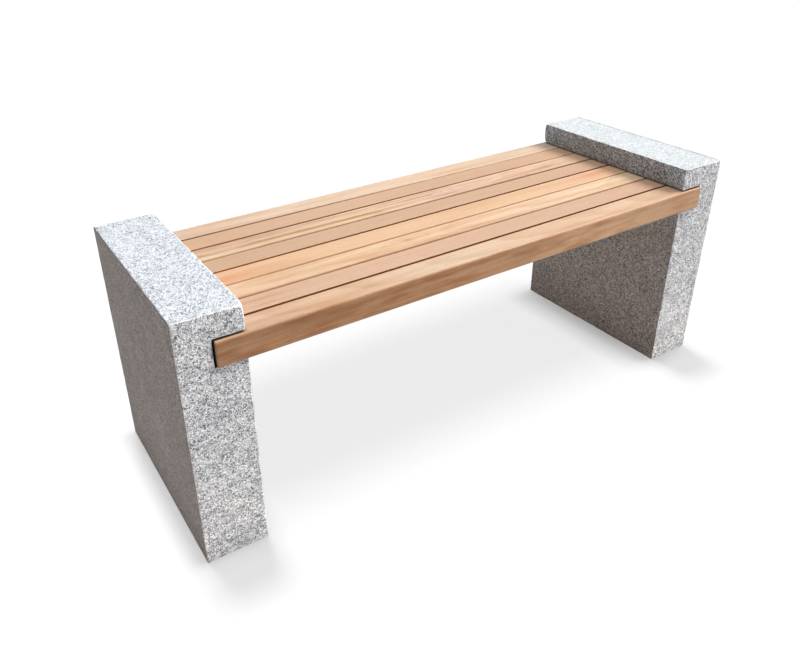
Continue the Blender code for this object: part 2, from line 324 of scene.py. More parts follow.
def lattice_lines(stations):
    """Where lattice planes cut one axis, from each edge of a stone to the next, closer beside the edges."""
    runs = []
    for start, end in zip(stations, stations[1:]):
        margin = EDGE_LINES[-1]
        count = max(1, round((end - start - 2 * margin) / LATTICE_PITCH))
        middle = np.linspace(start + margin, end - margin, count + 1)[1:-1]
        runs += [start + EDGE_LINES, middle, end - EDGE_LINES[::-1]]
    return np.unique(np.round(np.concatenate(runs), 7))


def lattice_skin(xs, ys, zs, solid):
    """The skin of a solid made of lattice cells: its points and its outward four-sided faces."""
    shape = (len(xs), len(ys), len(zs))
    number = np.arange(np.prod(shape)).reshape(shape)
    padded = np.pad(solid, 1)
    faces = []
    for axis in range(3):
        step = np.diff(padded.astype(int), axis=axis)
        keep = [slice(1, -1)] * 3
        keep[axis] = slice(None)
        step = step[tuple(keep)]
        one, two = [(1, 2), (2, 0), (0, 1)][axis]
        for sign in (1, -1):
            cell = np.argwhere(step == -sign)
            corners = []
            for move_one, move_two in ((0, 0), (1, 0), (1, 1), (0, 1)):
                corner = cell.copy()
                corner[:, one] += move_one
                corner[:, two] += move_two
                corners.append(number[tuple(corner.T)])
            quad = np.stack(corners, 1)
            faces.append(quad if sign == 1 else quad[:, ::-1])
    faces = np.concatenate(faces)
    used, faces = np.unique(faces, return_inverse=True)
    faces = faces.reshape(-1, 4)
    grid = np.stack(np.meshgrid(xs, ys, zs, indexing="ij"), -1).reshape(-1, 3)
    return grid[used], faces


def stone_shape(low, high, housing, seed, wear, dark_margin, chips):
    """Points, faces and surface marks of a stone end that stands at -X of its inner face.

    housing is (floor, top, back) of the cut for the slats. wear says how round the arrises are, and
    dirt how wide the dark edge is along the outer side of the top. chips are (point, extra radius,
    reach) of the spots where an arris is knocked off.
    """
    floor, top, back = housing
    xs = lattice_lines([low.x, back, high.x])
    ys = lattice_lines([low.y, high.y])
    zs = lattice_lines([low.z, floor, top, high.z])
    mid_x = (xs[1:] + xs[:-1]) / 2
    mid_z = (zs[1:] + zs[:-1]) / 2
    cut = (mid_x[:, None, None] > back) & (mid_z[None, None, :] > floor) & (mid_z[None, None, :] < top)
    solid = ~np.broadcast_to(cut, (len(mid_x), len(ys) - 1, len(mid_z)))
    points, faces = lattice_skin(xs, ys, zs, solid)

    # How round each edge is: it wanders, and grows where a chip is gone.
    radius = 1.5 * MM + 1.6 * MM * smooth_noise(points, 0.018, seed) ** 2
    radius += 1.2 * MM * smoothstep(0.55, 0.9, smooth_noise(points, 0.045, seed + 1))
    radius *= wear * (0.45 + 0.55 * smoothstep(0.0, 0.020, points[:, 2]))
    for point, extra, reach in chips:
        distance = np.linalg.norm(points - np.array(point), axis=1)
        radius += extra * np.exp(-((distance / reach) ** 2))

    # The core is the stone less that radius, and each point goes back out from it, which rounds the edges.
    x, y, z = points.T
    tiny = 1e-6
    on_back = np.abs(x - back) < tiny
    in_cut = (z > floor - tiny) & (z < top + tiny)
    wall = on_back & in_cut
    inner = np.where(wall & (z > floor + tiny) & (z < top - tiny), back, high.x)
    core = points.copy()
    core[:, 0] = np.clip(x, low.x + radius, inner - radius)
    core[:, 1] = np.clip(y, low.y + radius, high.y - radius)
    under = (z < floor + tiny) & (x > back - tiny)
    over = (z > top - tiny) & (x > back - tiny)
    ceiling = np.where(under, floor, high.z)
    ground = np.where(over, top, low.z)
    core[:, 2] = np.clip(z, ground + radius, ceiling - radius)
    root = wall & ((np.abs(z - floor) < tiny) | (np.abs(z - top) < tiny))
    core[root, 0] = back - radius[root] * math.sqrt(0.5)
    lean = np.where(np.abs(z - floor) < tiny, -1, 1)[root] * math.sqrt(0.5)
    core[root, 2] = z[root] + lean * radius[root]

    away = points - core
    away /= np.linalg.norm(away, axis=1)[:, None]

    # The marks that the material reads.
    arris = smoothstep(0.03, 0.28, 1 - np.abs(away).max(1)) * smooth_noise(points, 0.009, seed + 6) ** 0.5
    arris[root] = 0
    sawn = smoothstep(0.8, 0.97, np.abs(away[:, 0]))
    in_housing = (x > back + tiny) & in_cut
    depth_in = np.minimum(np.minimum(y - low.y, high.y - y), high.x - x)
    # How deep a point lies in the housing, which the material paints as shade.
    inside = np.where(in_housing | root, smoothstep(0.3 * MM, 1.6 * MM, depth_in), 0.0)
    worked = (1 - sawn) * ~in_housing
    lip = (x > high.x - tiny) & (z > top)
    sawn = np.where(lip, 0.0, sawn)
    grime = np.where(z > high.z - tiny, smoothstep(1.5 * dark_margin, 0.5 * dark_margin, x - low.x), 0.0)
    grime *= 0.3 + 0.7 * smooth_noise(points, 0.030, seed + 7)
    arris *= 1 - grime

    # Hollows: small and close where the face is bush-hammered, wide and faint where it is sawn.
    depth = 0.10 * MM * smooth_noise(points, 0.012, seed + 2)
    depth += worked * 0.45 * MM * smooth_noise(points, 0.0075, seed + 3)
    depth += worked * 0.35 * MM * smooth_noise(points, 0.021, seed + 4)
    depth += (0.2 + 0.8 * worked) * 0.5 * MM * smooth_noise(points, 0.110, seed + 5)
    points = core + away * (radius - depth)[:, None]
    return points, faces, {"arris": arris, "grime": grime, "sawn": sawn, "lip": lip, "inside": inside}


def build_stone(side, material):
    """One granite end. The right one is made as a left one and mirrored into its place.

    A chip is (point, how much rounder it makes the edge, how far along).
    """
    node = f"granite_end_{side}"
    low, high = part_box(node)
    if side == "right":
        low.x, high.x = -high.x, -low.x
    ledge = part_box(SLATS[0])[0].z - FIT_GAP
    housing = (ledge, ledge + HOUSING_HEIGHT, high.x - HOUSING_DEPTH)
    front, rear, top, inner = low.y, high.y, high.z, high.x
    if side == "left":
        wear, dark_margin = 1.0, 0.3 * MM
        chips = [
            ((inner, front, top), 5.0 * MM, 0.013),
            ((inner, front, housing[1]), 2.0 * MM, 0.010),
            ((low.x, front, top), 2.0 * MM, 0.012),
        ]
    else:
        wear, dark_margin = 0.55, 5.0 * MM
        chips = [
            ((inner, rear, housing[1]), 5.0 * MM, 0.011),
            ((inner, front, housing[0]), 2.5 * MM, 0.010),
            ((low.x, front, top), 3.0 * MM, 0.012),
        ]
    draw = np.random.RandomState(41 if side == "left" else 87)
    for _ in range(SMALL_CHIPS):
        spot = (
            draw.choice([low.x, inner]),
            draw.choice([front, rear]),
            draw.uniform(0.1 * top, top),
        )
        along = draw.randint(3)
        if along == 1:
            spot = (spot[0], draw.uniform(front, rear), top)
        elif along == 2:
            spot = (draw.uniform(low.x, inner), spot[1], top)
        chips.append((spot, draw.uniform(0.8, 2.6) * MM, draw.uniform(0.004, 0.010)))
    points, faces, marks = stone_shape(low, high, housing, draw.randint(1000), wear, dark_margin, chips)
    if side == "right":
        points[:, 0] *= -1
        faces = faces[:, ::-1]
    item = mesh_object(f"bush_hammered_{node}", points, faces)
    for name, values in marks.items():
        point_values(item, name, values)
    fit_out(item, node, material)
    return item


# ---------------------------------------------------------------- hardwood

# Of each slat, front to rear. tones: colours of its top, evenly spread from left to right. front, rear:
# colours of its side faces, which where they face a gap between slats are partly painted shade: dark for a
# crisp gap line, pale for a soft one. figure: how strongly the growth rings show on the top and on the front.
# ring: their width. pith: where the log's centre lies across and up from the board's. run: how much the
# pith line rises across and up along the board. wave: how much the rings waver. arris: radius of the
# front and rear upper edges. patches: (x, y, length, width, tint) of lighter and darker places on the
# top, and front_patches the same on the front face, with z for y. eyes: (x, y, length, width, swell) of
# the places where the rings close round a bulge in the grain.
# Side tones for the faces in the gaps between slats: the wood's own deeper tone and painted gap shade.
DARK_GAP_SIDE = [(0.16, 0.075, 0.040)]
PALE_GAP_SIDE = [(0.33, 0.205, 0.125)]
WOODS = {
    "slat_1": {
        "tones": [
            (0.465, 0.304, 0.204),
            (0.545, 0.356, 0.234),
            (0.553, 0.397, 0.281),
            (0.558, 0.372, 0.254),
            (0.569, 0.387, 0.259),
            (0.493, 0.315, 0.205),
        ],
        "front": [
            (0.320, 0.165, 0.078),
            (0.345, 0.176, 0.080),
            (0.378, 0.203, 0.103),
            (0.472, 0.278, 0.153),
            (0.425, 0.236, 0.124),
        ],
        "rear": DARK_GAP_SIDE,
        "figure": (0.70, 0.95), "ring": 0.016, "pith": (0.030, -0.070),
        "run": (0.030, -0.085), "wave": 0.006,
        "arris": (5.0 * MM, 2.0 * MM),
        "patches": [
            (-0.33, -0.010, 0.10, 0.010, (0.93, 0.88, 0.84)),
            (0.06, 0.0, 0.12, 0.02, (1.04, 1.07, 1.08)),
            (0.20, -0.012, 0.05, 0.004, (0.90, 0.84, 0.78)),
            (0.30, -0.018, 0.10, 0.004, (0.84, 0.77, 0.71)),
            (0.33, 0.008, 0.08, 0.005, (1.05, 1.08, 1.10)),
            (0.47, 0.000, 0.08, 0.030, (0.94, 0.93, 0.91)),
        ],
        "front_patches": [
            (0.10, 0.018, 1.20, 0.006, (0.90, 0.85, 0.81)),
            (-0.36, 0.011, 0.13, 0.004, (0.70, 0.62, 0.55)),
            (-0.46, 0.002, 0.07, 0.004, (0.86, 0.80, 0.74)),
            (-0.50, -0.012, 0.04, 0.007, (1.06, 0.96, 0.88)),
            (-0.16, 0.012, 0.10, 0.003, (0.90, 0.83, 0.76)),
            (-0.12, 0.018, 0.16, 0.007, (1.08, 1.10, 1.12)),
            (-0.10, -0.006, 0.12, 0.006, (1.05, 0.97, 0.90)),
            (0.04, 0.004, 0.08, 0.005, (0.88, 0.82, 0.76)),
            (0.36, 0.000, 0.10, 0.014, (0.94, 0.92, 0.91)),
            (0.24, -0.010, 0.10, 0.007, (1.06, 1.08, 1.10)),
            (0.33, 0.010, 0.06, 0.003, (0.84, 0.77, 0.70)),
        ],
    },
    "slat_2": {
        "tones": [(0.520, 0.340, 0.232), (0.545, 0.358, 0.252), (0.525, 0.342, 0.238), (0.503, 0.323, 0.223)],
        "front": [(0.210, 0.062, 0.010)],
        "rear": PALE_GAP_SIDE,
        "figure": (0.20, 0.20), "ring": 0.007, "pith": (-0.09, -0.05),
        "run": (0.010, 0.020), "wave": 0.001,
        "arris": (1.5 * MM, 2.4 * MM),
        "patches": [
            (-0.48, 0.006, 0.07, 0.005, (0.88, 0.80, 0.74)),
            (-0.46, -0.014, 0.05, 0.004, (0.90, 0.82, 0.76)),
        ],
    },
    "slat_3": {
        "tones": [(0.570, 0.375, 0.240), (0.625, 0.430, 0.282), (0.612, 0.422, 0.285), (0.655, 0.485, 0.330)],
        "front": [(0.380, 0.200, 0.100)],
        "rear": PALE_GAP_SIDE,
        "figure": (0.72, 0.45), "ring": 0.012, "pith": (0.010, -0.055),
        "run": (0.022, -0.030), "wave": 0.004,
        "arris": (4.2 * MM, 2.0 * MM),
        "eyes": [(-0.120, 0.006, 0.036, 0.008, 0.055)],
        "patches": [
            (-0.12, 0.004, 0.012, 0.006, (0.80, 0.72, 0.66)),
            (-0.14, 0.013, 0.030, 0.002, (0.84, 0.76, 0.70)),
            (-0.02, -0.020, 0.16, 0.005, (0.80, 0.72, 0.65)),
            (0.10, 0.012, 0.10, 0.008, (1.02, 0.94, 0.94)),
        ],
    },
    "slat_4": {
        "tones": [(0.590, 0.350, 0.215), (0.610, 0.407, 0.255), (0.602, 0.395, 0.245), (0.620, 0.385, 0.250)],
        "front": [(0.500, 0.290, 0.150)],
        "rear": DARK_GAP_SIDE,
        "figure": (0.32, 0.30), "ring": 0.015, "pith": (-0.03, -0.085),
        "run": (0.015, 0.012), "wave": 0.002,
        "arris": (3.2 * MM, 1.5 * MM),
        "patches": [
            (-0.49, -0.010, 0.06, 0.014, (0.97, 0.84, 0.76)),
            (0.45, 0.002, 0.050, 0.013, (0.93, 0.78, 0.70)),
        ],
    },
    "slat_5": {
        "tones": [(0.468, 0.312, 0.202), (0.505, 0.331, 0.227), (0.503, 0.328, 0.222), (0.512, 0.330, 0.226)],
        "front": [(0.330, 0.140, 0.050), (0.210, 0.070, 0.015), (0.190, 0.055, 0.008), (0.190, 0.055, 0.008)],
        "rear": PALE_GAP_SIDE,
        "figure": (0.18, 0.18), "ring": 0.008, "pith": (0.10, -0.04),
        "run": (0.010, 0.010), "wave": 0.001,
        "arris": (1.5 * MM, 2.2 * MM),
        "patches": [],
    },
    "slat_6": {
        "tones": [
            (0.500, 0.330, 0.225),
            (0.525, 0.345, 0.232),
            (0.605, 0.412, 0.282),
            (0.604, 0.426, 0.316),
            (0.584, 0.386, 0.262),
            (0.510, 0.330, 0.215),
        ],
        "front": [(0.42, 0.25, 0.14), (0.36, 0.22, 0.12), (0.28, 0.15, 0.08), (0.16, 0.08, 0.035)],
        "rear": DARK_GAP_SIDE,
        "figure": (1.20, 0.60), "ring": 0.013, "pith": (-0.012, -0.042),
        "run": (-0.045, 0.030), "wave": 0.008,
        "arris": (3.2 * MM, 1.5 * MM),
        "eyes": [(0.150, 0.001, 0.075, 0.010, 0.040)],
        "patches": [
            (-0.44, -0.019, 0.26, 0.007, (1.15, 1.26, 1.22)),
            (-0.40, -0.008, 0.22, 0.003, (0.84, 0.76, 0.70)),
            (-0.36, 0.010, 0.20, 0.003, (0.88, 0.80, 0.74)),
            (-0.13, -0.010, 0.09, 0.004, (0.80, 0.73, 0.68)),
            (-0.07, 0.010, 0.06, 0.004, (1.10, 1.14, 1.16)),
            (0.00, 0.006, 0.10, 0.004, (0.82, 0.74, 0.67)),
            (0.14, 0.0, 0.09, 0.016, (0.99, 0.93, 0.96)),
            (0.09, -0.014, 0.05, 0.004, (0.80, 0.73, 0.69)),
            (0.13, 0.002, 0.03, 0.003, (1.12, 1.16, 1.18)),
            (0.20, 0.010, 0.06, 0.004, (0.80, 0.73, 0.69)),
            (0.27, -0.004, 0.06, 0.003, (1.08, 1.11, 1.12)),
            (0.38, -0.010, 0.12, 0.005, (0.82, 0.74, 0.68)),
        ],
    },
    "slat_7": {
        "tones": [(0.495, 0.315, 0.200), (0.525, 0.345, 0.235), (0.508, 0.329, 0.221), (0.510, 0.328, 0.216)],
        "front": [(0.34, 0.16, 0.07), (0.24, 0.09, 0.03), (0.34, 0.16, 0.07), (0.58, 0.34, 0.18)],
        "rear": PALE_GAP_SIDE,
        "figure": (0.18, 0.18), "ring": 0.008, "pith": (0.09, -0.06),
        "run": (0.010, 0.010), "wave": 0.001,
        "arris": (1.5 * MM, 2.2 * MM),
        "patches": [],
    },
    "slat_8": {
        "tones": [(0.530, 0.362, 0.258), (0.615, 0.470, 0.355), (0.592, 0.438, 0.318), (0.558, 0.420, 0.312)],
        "front": [(0.15, 0.07, 0.04), (0.30, 0.17, 0.10), (0.55, 0.38, 0.25), (0.60, 0.42, 0.28)],
        "rear": [(0.43, 0.265, 0.165), (0.47, 0.300, 0.190)],
        "figure": (0.50, 0.50), "ring": 0.012, "pith": (0.02, -0.07),
        "run": (0.030, 0.010), "wave": 0.005,
        "arris": (3.0 * MM, 3.0 * MM),
        "patches": [
            (0.05, 0.010, 0.10, 0.008, (1.03, 0.95, 0.92)),
            (0.22, -0.008, 0.09, 0.007, (0.97, 0.90, 0.82)),
        ],
    },
}
BOTTOM_ARRIS = 2.2 * MM
END_ARRIS = 1.5 * MM
CORNER_STEPS = 5
FACE_STEPS = 6  # across each face of a slat
SECTIONS = 150  # along a slat
RING_SHADES = [(0.0, grey(0.0)), (0.5, grey(0.35)), (0.85, grey(1.0)), (0.96, grey(0.8)), (1.0, grey(0.0))]
RING_MEAN = 0.44
PALE_GRAIN = (1.06, 1.10, 1.14)
DARK_GRAIN = (0.78, 0.66, 0.54)
PORE_TINT = (0.45, 0.36, 0.28)
# Painted shade on the tops of the slats, along each stone.
STONE_EDGE_SHADE_TINT = (0.50, 0.45, 0.42)
STONE_EDGE_SHADE_WIDTH = 7 * MM  # on the top of the slats, along each stone
SHADOW = (0.012, 0.010, 0.008)  # on what lies inside a stone
TONE_WAVER = 0.16  # how far the tones of a slat shift along it from fibre to fibre


def wood_material(node):
    """Oiled hardwood sawn from a log: growth rings round a pith line, long streaks and open pores."""
    look = WOODS[node]
    low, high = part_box(node)
    half = (high - low) / 2
    seed = float(node[-1]) * 5.3
    s = Surface(f"hardwood_of_{node}")
    along, across, up = s.split(s.vector("SUBTRACT", s.place, tuple((low + high) / 2)))[:3]
    far = s.math("ADD", along, seed)

    def fibres(stretch_along, stretch_across, **settings):
        place = s.join(
            s.math("MULTIPLY", far, stretch_along),
            s.math("MULTIPLY", across, stretch_across),
            s.math("MULTIPLY", up, stretch_across),
        )
        return s.noise(place, 1.0, **settings)

    # Growth rings, bent over a long way and wavering over a short one.
    waver = s.math("MULTIPLY_ADD", fibres(15.0, 45.0), look["wave"], -look["wave"] / 2)
    bend = s.math("MULTIPLY_ADD", fibres(2.4, 8.0), 0.034, s.math("SUBTRACT", waver, 0.017))
    side = s.math("MULTIPLY_ADD", along, look["run"][0], s.math("ADD", across, bend))
    side = s.math("SUBTRACT", side, look["pith"][0])
    rise = s.math("MULTIPLY_ADD", along, look["run"][1], s.math("ADD", up, bend))
    rise = s.math("SUBTRACT", rise, look["pith"][1])
    bent_along = s.math("ADD", along, bend)
    for x, y, length, width, swell in look.get("eyes", []):
        rise = s.math("MULTIPLY_ADD", s.patch(bent_along, across, (x, y), (length, width)), swell, rise)
    distance = s.math("SQRT", s.math("MULTIPLY_ADD", side, side, s.math("MULTIPLY", rise, rise)))
    ring = s.math("FRACT", s.math("DIVIDE", distance, look["ring"]))
    ring = s.ramp(ring, RING_SHADES)

    streak = fibres(3.0, 190.0, detail=3.0, roughness=0.65)
    drift = fibres(2.5, 45.0, detail=2.0)
    pores = s.stretch(fibres(60.0, 1100.0, detail=1.0), 0.60, 0.72)

    def patched(colour, height, patches):
        """The colour with soft patches, which waver as the rings do."""
        bent_height = s.math("MULTIPLY_ADD", bend, 0.25, height)
        for x, y, length, width, tint in patches:
            spot = s.patch(bent_along, bent_height, (x, y), (length, width))
            colour = s.mix(spot, colour, tint, "MULTIPLY")
        return colour

    # The tone from left to right, on the top and on each side.
    even = s.math("SUBTRACT", along, TONE_WAVER / 2)
    reach = s.math("MULTIPLY_ADD", fibres(5.0, 60.0), TONE_WAVER, even)
    reach = s.stretch(reach, -half.x, half.x)
    facing = s.split(s.normal)[1]
    # The front tone begins on the rounded upper arris, as painted shade where the edge turns away from the
    # top.
    is_front = s.stretch(facing, -0.10, -0.85, smooth=True)
    front = patched(s.tones(reach, look["front"]), up, look.get("front_patches", []))
    top = patched(s.tones(reach, look["tones"]), across, look["patches"])
    colour = s.mix(is_front, top, front)
    colour = s.mix(s.stretch(facing, 0.30, 0.80, smooth=True), colour, s.tones(reach, look["rear"]))

    # How dark the figure makes each place, from 0 to 1: rings, blotches, streaks and slow drifts.
    blotch = s.stretch(fibres(14.0, 60.0, detail=2.5), 0.25, 0.75, -0.80, 0.80)
    ring = s.math("SUBTRACT", ring, RING_MEAN)
    ring = s.math("MULTIPLY", ring, s.stretch(is_front, 0.0, 1.0, 0.50, 0.30))
    blotch = s.math("MULTIPLY", blotch, s.stretch(is_front, 0.0, 1.0, 0.24, 1.0))
    depth = s.math("ADD", ring, blotch)
    depth = s.math("ADD", depth, s.stretch(streak, 0.25, 0.75, -0.50, 0.50))
    depth = s.math("ADD", depth, s.stretch(drift, 0.25, 0.75, -0.38, 0.38))
    figure = s.stretch(is_front, 0.0, 1.0, *look["figure"])
    depth = s.math("MULTIPLY_ADD", depth, figure, 0.28, clamp=True)
    pale = s.mix(1.0, colour, PALE_GRAIN, "MULTIPLY")
    dark = s.mix(1.0, colour, DARK_GRAIN, "MULTIPLY")
    colour = s.mix(depth, pale, dark)
    colour = s.mix(s.math("MULTIPLY", pores, 0.30), colour, PORE_TINT, "MULTIPLY")

    # Painted shade darkens the top where it meets a stone, and what lies inside the stone is painted dark.
    from_middle, from_axis = (s.math("ABSOLUTE", part) for part in s.split(s.place)[:2])
    dark_margin = s.stretch(from_middle, INNER_FACE - STONE_EDGE_SHADE_WIDTH, INNER_FACE)
    dark_margin = s.math("MULTIPLY", dark_margin, s.stretch(is_front, 0.3, 0.0))
    colour = s.mix(s.math("MULTIPLY", dark_margin, 0.45), colour, STONE_EDGE_SHADE_TINT, "MULTIPLY")
    buried = s.stretch(from_middle, INNER_FACE, INNER_FACE + 5 * MM)
    buried = s.math("MULTIPLY", buried, s.stretch(from_axis, STONE_REACH, STONE_REACH - 1.5 * MM))
    colour = s.mix(s.math("MULTIPLY", buried, 0.93), colour, SHADOW)

    grain = s.math("MULTIPLY_ADD", streak, 0.6, s.math("MULTIPLY", pores, -0.5))
    s.set(
        Base_Color=colour,
        Roughness=s.stretch(streak, 0.3, 0.7, 0.50, 0.62),
        Normal=s.bump(grain, 0.25 * MM, 0.6),
        Specular_IOR_Level=0.35,
    )
    return s.material


def slat_outline(half_width, half_height, radii):
    """A slat's cross-section, anticlockwise from its rear lower corner, with a radius for each corner.

    Each flat side has a point close to its corners, so that the shading turns only on the arrises.
    """
    corners = [(1, -1), (1, 1), (-1, 1), (-1, -1)]
    points = []
    for index, ((side_y, side_z), radius) in enumerate(zip(corners, radii)):
        centre = np.array([side_y * (half_width - radius), side_z * (half_height - radius)])
        start = (index - 1) * math.pi / 2
        for angle in np.linspace(start, start + math.pi / 2, CORNER_STEPS + 1):
            points.append(centre + radius * np.array([math.cos(angle), math.sin(angle)]))
        next_y, next_z = corners[(index + 1) % 4]
        next_radius = radii[(index + 1) % 4]
        start_point = points[-1]
        next_centre = np.array([next_y * (half_width - next_radius), next_z * (half_height - next_radius)])
        end_angle = index * math.pi / 2
        end_point = next_centre + next_radius * np.array([math.cos(end_angle), math.sin(end_angle)])
        length = np.linalg.norm(end_point - start_point)
        steps = [0.5 * MM / length, *np.linspace(0, 1, FACE_STEPS + 1)[1:-1], 1 - 0.5 * MM / length]
        points += [start_point + (end_point - start_point) * step for step in steps]
    return np.array(points)


def build_slat(node):
    """A planed board: eased arrises, slightly wandering faces and softened ends."""
    low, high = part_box(node)
    centre, half = (low + high) / 2, (high - low) / 2
    front_arris, rear_arris = WOODS[node]["arris"]
    outline = slat_outline(half.y, half.z, (BOTTOM_ARRIS, rear_arris, front_arris, BOTTOM_ARRIS))
    turn = np.linspace(0, math.pi / 2, 5)
    end_xs = END_ARRIS * (1 - np.cos(turn))
    end_shrink = END_ARRIS * (1 - np.sin(turn))
    middle = np.linspace(END_ARRIS + 0.5 * MM, 2 * half.x - END_ARRIS - 0.5 * MM, SECTIONS)
    xs = np.concatenate([end_xs, middle, 2 * half.x - end_xs[::-1]]) - half.x
    shrink = np.concatenate([end_shrink, np.zeros(len(middle)), end_shrink[::-1]])

    rows, size = len(xs), len(outline)
    scale = 1 - shrink[:, None, None] / np.array([half.y, half.z])
    sections = outline[None] * scale
    points = np.concatenate([np.repeat(xs, size)[:, None], sections.reshape(-1, 2)], axis=1)
    inward = points * (0, 1, 1)
    inward /= np.linalg.norm(inward, axis=1)[:, None]
    seed = 10 * int(node[-1])
    waves = 0.20 * MM * smooth_noise(points * (0.25, 1, 1), 0.030, seed)
    waves += 0.08 * MM * smooth_noise(points, 0.013, seed + 1)
    points = points - inward * waves[:, None] + np.array(centre)

    first = np.arange((rows - 1) * size).reshape(rows - 1, size)
    after = np.roll(first, -1, axis=1)
    quads = np.stack([first, after, after + size, first + size], axis=-1).reshape(-1, 4)
    faces = [*quads, np.arange(size)[::-1], np.arange(size) + (rows - 1) * size]
    item = mesh_object(f"oiled_{node}", points, faces)
    item.data.set_sharp_from_angle(angle=math.radians(40))
    fit_out(item, node, wood_material(node))
    return item


# ---------------------------------------------------------------- steel

SCREW_STEPS = 36  # round the piece
BOLT_STEPS = 48
WASHER_STEPS = 64


def galvanised_material():
    """Hot-dip galvanised steel: zinc spangles, dull grey bloom and small runs."""
    s = Surface("hot_dip_zinc")
    spangle = s.split(s.cells(s.place, 110.0))[0]
    bloom = s.noise(s.place, 24.0, detail=4.0, roughness=0.6)
    shade = s.math("ADD", s.math("MULTIPLY", spangle, 0.4), s.math("MULTIPLY", bloom, 0.6))
    tones = [(0.2, (0.36, 0.38, 0.40)), (0.5, (0.50, 0.52, 0.54)), (0.8, (0.62, 0.64, 0.66))]
    lumps = s.noise(s.place, 160.0, detail=3.0)
    s.set(
        Base_Color=s.ramp(shade, tones),
        Metallic=0.9,
        Roughness=s.stretch(shade, 0.2, 0.8, 0.58, 0.36),
        Normal=s.bump(lumps, 0.5 * MM, 0.5),
    )
    return s.material


def stainless_material():
    """Stainless steel as it comes from heading and rolling: fine scratches and a faint oil film."""
    s = Surface("stainless_fastener")
    scratch = s.noise(s.vector("MULTIPLY", s.place, (300.0, 2500.0, 900.0)), 1.0, detail=2.0)
    film = s.noise(s.place, 180.0, detail=2.0)
    colour = s.ramp(film, [(0.3, (0.55, 0.54, 0.52)), (0.7, (0.68, 0.67, 0.65))])
    s.set(
        Base_Color=colour,
        Metallic=1.0,
        Roughness=s.stretch(scratch, 0.3, 0.7, 0.24, 0.42),
        Normal=s.bump(scratch, 0.05 * MM, 0.3),
    )
    return s.material


def dress_cad_nodes(prefixes, material):
    """A CAD node whose shape is already right keeps it, in a finished material."""
    for name in NODES:
        if name.startswith(prefixes):
            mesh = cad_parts[name]
            mesh.data.materials.clear()
            mesh.data.materials.append(material)


def turn_angles(steps):
    return np.arange(steps) * 2 * math.pi / steps


def hexagon(angles, across_flats, turn=0.0):
    """The radius of a hexagon at each angle. It has a corner at the angle turn."""
    return across_flats / 2 / np.cos((angles - turn) % (math.pi / 3) - math.pi / 6)


def turned_piece(name, rings, steps, place, closed=False):
    """A turned shape from rings of (radius, height), which start at the top and run down its outer side.

    A radius may differ for each angle, as a hexagon's does. An open shape is capped at both ends with a
    point on its axis, and a closed one is a ring's section.
    """
    points, faces = [], []
    angles = turn_angles(steps)
    for radius, height in rings:
        across = np.broadcast_to(radius, steps)
        ring = [across * np.cos(angles), across * np.sin(angles), np.full(steps, height)]
        points.append(np.stack(ring, axis=1))
    count = len(rings)
    column = np.arange(steps)
    after = np.roll(column, -1)
    for index in range(count if closed else count - 1):
        upper, lower = index * steps, (index + 1) % count * steps
        faces += list(np.stack([lower + column, lower + after, upper + after, upper + column], axis=1))
    if not closed:
        points.append(np.array([[0, 0, rings[0][1]], [0, 0, rings[-1][1]]]))
        top, bottom = count * steps, count * steps + 1
        faces += [(top, a, b) for a, b in zip(column, after)]
        foot = (count - 1) * steps
        faces += [(bottom, foot + b, foot + a) for a, b in zip(column, after)]
    item = mesh_object(name, np.concatenate(points), faces)
    item.data.transform(place)
    item.data.set_sharp_from_angle(angle=math.radians(35))
    return item


def build_screw(node, material):
    """A countersunk wood screw: a hexagon socket in its head, a plain neck, a rolled thread and a point."""
    low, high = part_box(node)
    length, head = high.z - low.z, (high.x - low.x) / 2
    shank, cone, thread_start, point = 2.5 * MM, 3.3 * MM, 11 * MM, 6 * MM
    pitch, root = 2.2 * MM, 0.7  # the thread's root is this share of its crest
    socket_width, socket_floor, drill_tip = 4.0 * MM, 1.8 * MM, 2.4 * MM
    angles = turn_angles(SCREW_STEPS)
    socket = hexagon(angles, socket_width)
    rings = []
    for height in np.arange(length, thread_start, -pitch / 8):
        phase = (height / pitch - angles / (2 * math.pi)) % 1
        crest = np.clip(1.6 * np.abs(phase - 0.5) * 2 - 0.6, 0, 1)
        taper = np.clip((length - height) / point, 0.03, 1)
        fade = np.clip((height - thread_start) / pitch, 0, 1)
        rings.append((shank * taper * (1 - (1 - root) * (1 - crest) * fade), height))
    rings += [(shank, thread_start), (shank, cone), (head - 0.15 * MM, 0.25 * MM), (head, 0.15 * MM)]
    rings += [(head - 0.1 * MM, 0.0), (socket + 0.2 * MM, 0.0), (socket, 0.2 * MM)]
    rings += [(socket, socket_floor), (0.3 * MM, drill_tip)]
    place = Matrix.Translation(((low.x + high.x) / 2, (low.y + high.y) / 2, low.z))
    screw = turned_piece(f"threaded_{node}", rings, SCREW_STEPS, place)
    fit_out(screw, node, material)


def facing_out_of_stone(node, x):
    """A frame at a place along the bench whose Z axis points out of the stone, towards the middle."""
    low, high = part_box(node)
    turn = Matrix.Rotation(math.copysign(math.pi / 2, -x), 4, "Y")
    return Matrix.Translation((x, (low.y + high.y) / 2, (low.z + high.z) / 2)) @ turn


